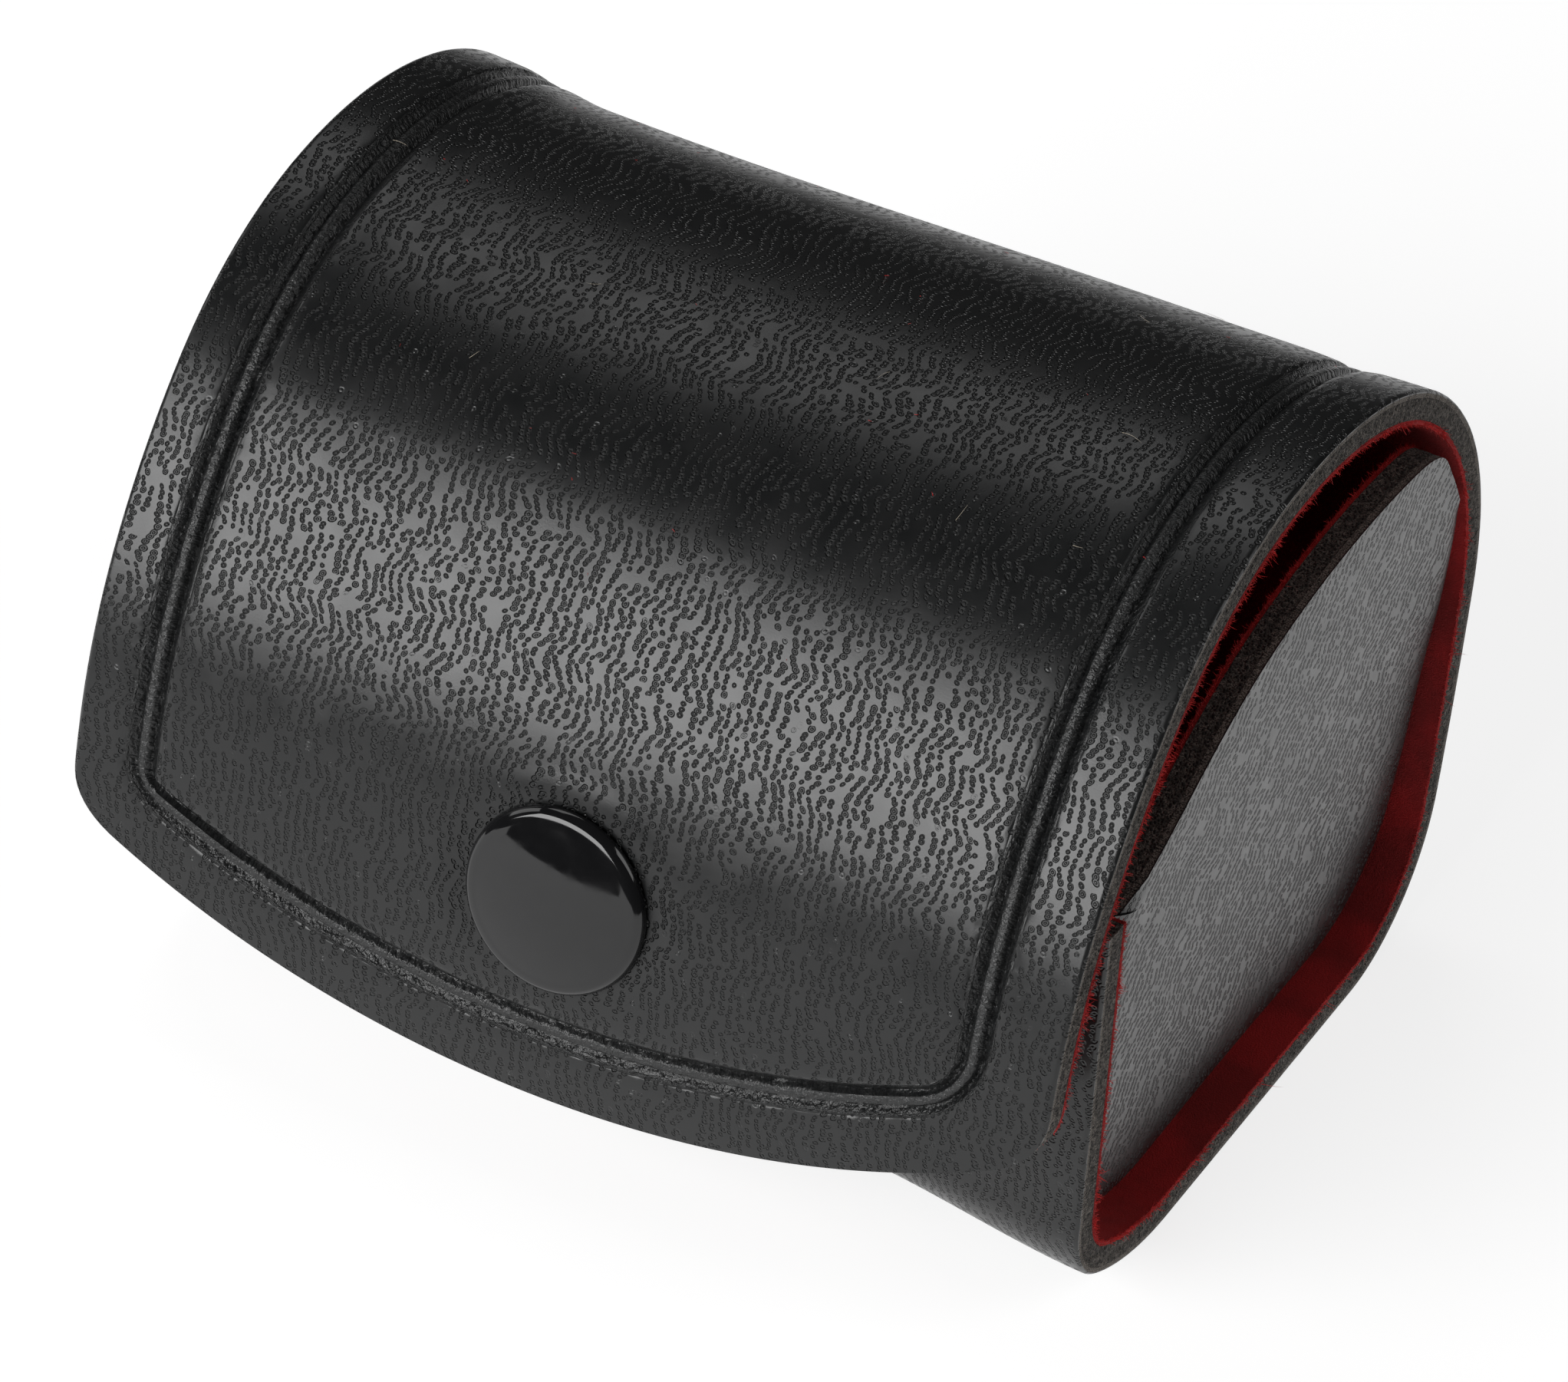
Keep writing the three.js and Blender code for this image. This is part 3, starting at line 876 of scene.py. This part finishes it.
# Rings from the centre (0) to the outline (1), closer together towards the rolled-in border.
GUSSET_RINGS = [
    0, 0.12, 0.25, 0.37, 0.48, 0.58, 0.67, 0.74, 0.8, 0.85, 0.89, 0.92, 0.945, 0.965, 0.98, 0.99, 1,
]


def gusset_faces(count, rings):
    """A fan round the centre point, then quads between the rings."""
    faces = [(0, 1 + (k + 1) % count, 1 + k) for k in range(count)]
    for ring in range(rings - 1):
        low, high = 1 + ring * count, 1 + (ring + 1) * count
        for k in range(count):
            after = (k + 1) % count
            faces.append((low + k, low + after, high + after, high + k))
    return faces


def gusset_face_x(y, z, border, free):
    """The outer face's distance from the middle: leaning in below and rolled in along the glue line."""
    inset = np.where(
        z < GUSSET_FLUSH_HEIGHT,
        GUSSET_INSET * (1 - (np.maximum(z, 0) / GUSSET_FLUSH_HEIGHT) ** 1.3),
        -GUSSET_BULGE * (z - GUSSET_FLUSH_HEIGHT),
    )
    roll = GUSSET_ROLL * np.clip(1 - border / GUSSET_ROLL_WIDTH, 0, 1) ** 2 * (1 - free)
    ripple = 0.12 * (value_noise(y / 7, z / 7, 5) - 0.5)
    return HALF_WIDTH - inset - roll + ripple


def make_gusset(side_name, side):
    """A padded end wall in three layers: side is 1 on the right and -1 on the left."""
    outline, free, glued_count = gusset_outline(side)
    centre = outline.mean(axis=0)
    spokes = outline - centre
    reach = np.linalg.norm(spokes, axis=1)
    yz = [centre[None, :]] + [centre + spokes * f for f in GUSSET_RINGS[1:]]
    border = [np.array([reach.min()])] + [reach * (1 - f) for f in GUSSET_RINGS[1:]]
    freedom = [np.zeros(1)] + [free] * (len(GUSSET_RINGS) - 1)
    yz, border, freedom = np.vstack(yz), np.concatenate(border), np.concatenate(freedom)
    face = gusset_face_x(yz[:, 0], yz[:, 1], border, freedom)
    faces = gusset_faces(len(outline), len(GUSSET_RINGS) - 1)
    turn = math.radians(GUSSET_GRAIN_TURN)
    grain_x = yz[:, 0] * math.cos(turn) - yz[:, 1] * math.sin(turn) + 100 * side
    grain_s = yz[:, 0] * math.sin(turn) + yz[:, 1] * math.cos(turn)
    depth = 0.0
    for number, (layer, thickness) in enumerate((("skin", SKIN), ("foam", FOAM), ("lining", LINING))):
        levels, fray = LAYER_RIMS[layer]
        outer = np.stack([side * (face - depth), yz[:, 0], yz[:, 1]], axis=1)
        inner = np.stack([side * (face - depth - thickness), yz[:, 0], yz[:, 1]], axis=1)
        sheet_outer = np.stack([grain_x, grain_s, np.full(len(face), depth)], axis=1)
        sheet_inner = np.stack([grain_x, grain_s, np.full(len(face), depth + thickness)], axis=1)
        turned_faces = [tuple(reversed(f)) for f in faces] if side > 0 else faces
        name = f"gusset_{side_name}_{layer}_sheet"
        args = (outer, inner, turned_faces, sheet_outer, sheet_inner, levels, fray, GUSSET_SEED + number)
        piece = dress(close_sheet(name, *args), layer)
        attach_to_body(piece, "tray")
        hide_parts(f"gusset_{side_name}_{layer}")
        depth += thickness + GLUE_LINE
    make_gusset_fringe(side_name, side, outline[glued_count:])


def make_gusset_fringe(side_name, side, top):
    """Red hairs along the gusset's free upper edge."""
    rng = np.random.default_rng(GUSSET_FRINGE_SEED + side)
    length = length_along(np.linalg.norm(np.diff(top, axis=0), axis=1))
    count = int(length[-1] * FIBRES_ON_SIDES)
    at = rng.uniform(0, length[-1], count)
    y, z = np.interp(at, length, top[:, 0]), np.interp(at, length, top[:, 1])
    inset = gusset_face_x(y, z, at * 0, at * 0 + 1)
    x = side * (inset - rng.uniform(LINING_TOP + 0.02, SHEET + 0.05, count))
    roots = np.stack([x, y, z - FIBRE_ROOT], axis=1)
    direction = rng.normal(0, 0.5, (count, 3)) + np.array([-0.3 * side, 0, 1.0])
    lengths = rng.uniform(0.15, 0.45, count)
    bow = rng.normal(0, 0.3, (count, 3))
    piece = strands(f"gusset_{side_name}_fringe", roots, direction, bow, lengths, FIBRE_RADIUS)
    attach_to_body(dress(piece, "fringe"), "tray")


# ---- The snap ----

def snap_matrix():
    """Z out of the flap at the snap."""
    y, z = place(0, SNAP_S, 0)[1:]
    heading = float(along(SNAP_S, PATH_HEADING))
    return Matrix.Translation((0, y, z)) @ Matrix.Rotation(heading, 4, "X")


def wall_matrix():
    """Z out of the front wall at the stud."""
    return Matrix.Translation((0, FRONT, STUD_HEIGHT)) @ Matrix.Rotation(math.pi / 2, 4, "X")


def inside_matrix():
    """Z into the tray, behind the stud."""
    return Matrix.Translation((0, FRONT + SHEET, STUD_HEIGHT)) @ Matrix.Rotation(-math.pi / 2, 4, "X")


def cap_profile(seat, pin_end):
    """A nearly flat dome with a full round rim, from the pin's end up to the crown."""
    rim_centre = CAP_RADIUS - CAP_RIM_RADIUS
    lean = math.radians(CAP_EDGE_SLOPE)
    ball = rim_centre / math.sin(lean)
    top = seat + CAP_RISE
    drop = ball * (1 - math.cos(lean))
    rim_height = top - drop - CAP_RIM_RADIUS * math.cos(lean)
    rim = []
    for angle in np.linspace(math.radians(-60), math.pi / 2 - lean, CAP_ARC_POINTS)[:-1]:
        height = rim_height + CAP_RIM_RADIUS * math.sin(angle)
        if height > seat:
            rim.append((rim_centre + CAP_RIM_RADIUS * math.cos(angle), height))
    dome = []
    for angle in np.linspace(lean, 0, CAP_ARC_POINTS)[:-1]:
        dome.append((ball * math.sin(angle), top - ball * (1 - math.cos(angle))))
    edge = rim_centre + CAP_RIM_RADIUS * 0.4
    return [*pin_end, (PIN_RADIUS, seat), (edge, seat), *rim, *dome, (0, top)]


def flap_cap():
    """The flap's cap, with the riveted head of its pin."""
    top = -2.4
    bottom = top - 0.35
    head = [(0, bottom), (1.65, bottom), (1.8, bottom + 0.1), (1.8, top), (PIN_RADIUS, top)]
    return cap_profile(0.03 - CAP_SINK, head)


def back_cap():
    """The cap inside the tray, with its plain pin."""
    pin_tip = -SHEET - 2.4
    pin = [(0, pin_tip), (PIN_RADIUS - 0.15, pin_tip), (PIN_RADIUS, pin_tip + 0.15)]
    return cap_profile(0.08, pin)


def socket_profile():
    """A flanged ring with a mouth that grips the stud."""
    floor, mouth, top = -2.1, -4.4, -1.4
    return [
        (HOLE_RADIUS, floor), (HOLE_RADIUS, top), (SOCKET_RADIUS - 0.1, top), (SOCKET_RADIUS, top - 0.1),
        (SOCKET_RADIUS, floor + 0.15), (SOCKET_RADIUS - 0.15, floor), (4.1, floor - 0.1),
        (3.9, floor - 0.4), (3.7, mouth + 0.25), (3.45, mouth), (2.95, mouth), (2.7, mouth + 0.12),
        (2.45, mouth + 0.3), (2.7, mouth + 0.55), (2.7, floor - 0.15), (2.55, floor), (HOLE_RADIUS, floor),
    ]


def stud_profile():
    """A flat flange with a waisted post."""
    base = -0.4
    face, tip = base + 0.6, base + 2.4
    return [
        (HOLE_RADIUS, base), (HOLE_RADIUS, tip), (1.65, tip), (1.85, tip - 0.12), (1.97, tip - 0.35),
        (2, tip - 0.6), (1.9, tip - 0.85), (1.75, face + 0.7), (1.75, face + 0.25), (2.0, face),
        (STUD_RADIUS - 0.25, face), (STUD_RADIUS - 0.07, face - 0.07), (STUD_RADIUS, face - 0.25),
        (STUD_RADIUS, base), (HOLE_RADIUS, base),
    ]


def make_snap():
    """The snap's four turned parts, each on its body."""
    parts = {
        "snap_cap": (flap_cap(), snap_matrix(), "flap"),
        "snap_socket": (socket_profile(), snap_matrix(), "flap"),
        "snap_stud": (stud_profile(), wall_matrix(), "tray"),
        "snap_back_cap": (back_cap(), inside_matrix(), "tray"),
    }
    for node, (profile, matrix, body) in parts.items():
        piece = dress(turned(f"{node}_turned", profile, matrix), "snap")
        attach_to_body(piece, body)
        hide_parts(node)


# ---- Camera, floor and light ----

CAMERA_AZIMUTH = 26.43
CAMERA_ELEVATION = 37.12
CAMERA_ROLL = 4.24
CAMERA_DISTANCE = 0.5395
CAMERA_TARGET = Vector((0.0005, 0.0002, 0.0215))
CAMERA_LENS = 197.3
CAMERA_SENSOR = 36


def direction(azimuth, elevation):
    """A unit vector seen from the object: azimuth 0 is the front, 90 the right."""
    a, e = math.radians(azimuth), math.radians(elevation)
    return Vector((math.sin(a) * math.cos(e), -math.cos(a) * math.cos(e), math.sin(e)))


def facing(position, target):
    """The turn of a camera or light at position that looks at target."""
    return (position - target).to_track_quat("Z", "Y").to_matrix().to_4x4()


def make_camera():
    data = bpy.data.cameras.new("camera")
    data.lens = CAMERA_LENS
    data.sensor_width = CAMERA_SENSOR
    data.clip_start = 0.01
    camera = bpy.data.objects.new("camera", data)
    position = CAMERA_TARGET + direction(CAMERA_AZIMUTH, CAMERA_ELEVATION) * CAMERA_DISTANCE
    roll = Matrix.Rotation(math.radians(CAMERA_ROLL), 4, "Z")
    camera.matrix_world = Matrix.Translation(position) @ facing(position, CAMERA_TARGET) @ roll
    bpy.context.scene.collection.objects.link(camera)
    bpy.context.scene.camera = camera


# Name, azimuth, elevation, distance, width, height and radiance.
SOFTBOXES = [
    ("front_low", -22, 24, 1.1, 1.0, 0.6, 7.2),
    ("overhead", -134, 56, 1.0, 0.5, 0.36, 1.6),
    ("side_left", -88, 30, 1.5, 0.7, 0.7, 1.6),
    ("side_right", 100, 40, 1.5, 0.8, 0.8, 2.2),
]


def make_lights():
    for name, azimuth, elevation, distance, width, height, radiance in SOFTBOXES:
        data = bpy.data.lights.new(name, "AREA")
        data.shape = "RECTANGLE"
        data.size, data.size_y = width, height
        data.energy = radiance * math.pi * width * height
        light = bpy.data.objects.new(name, data)
        position = CAMERA_TARGET + direction(azimuth, elevation) * distance
        light.matrix_world = Matrix.Translation(position) @ facing(position, CAMERA_TARGET)
        bpy.context.scene.collection.objects.link(light)


# The floor glows a little, so that it is as white as the photo's ground without brighter lights.
FLOOR_SIZE = 0.5
FLOOR_GREY = 0.4
FLOOR_GLOW = 0.76

# The world is white to the camera, and lights the box only faintly.
WORLD_SEEN = 1
WORLD_FILL = 0.05


def make_floor():
    bpy.ops.mesh.primitive_plane_add(size=FLOOR_SIZE)
    floor = bpy.context.object
    floor.name = "floor"
    surface = Surface("pale_floor")
    surface.set(Base_Color=(FLOOR_GREY, FLOOR_GREY, FLOOR_GREY, 1), Roughness=0.95)
    surface.set(Emission_Color=(1, 1, 1, 1), Emission_Strength=FLOOR_GLOW)
    floor.data.materials.append(surface.material)


def make_world():
    world = bpy.data.worlds.new("studio")
    bpy.context.scene.world = world
    world.use_nodes = True
    tree = world.node_tree
    background = tree.nodes["Background"]
    background.inputs["Color"].default_value = (1, 1, 1, 1)
    path = tree.nodes.new("ShaderNodeLightPath")
    brightness = tree.nodes.new("ShaderNodeMapRange")
    tree.links.new(path.outputs["Is Camera Ray"], brightness.inputs["Value"])
    brightness.inputs["To Min"].default_value = WORLD_FILL
    brightness.inputs["To Max"].default_value = WORLD_SEEN
    tree.links.new(brightness.outputs[0], background.inputs["Strength"])


# ---- Assembly ----

bpy.context.scene.view_settings.view_transform = "Standard"
make_camera()
make_strip()
make_fringes()
make_lint()
make_gusset("right", 1)
make_gusset("left", -1)
make_snap()
make_floor()
make_lights()
make_world()
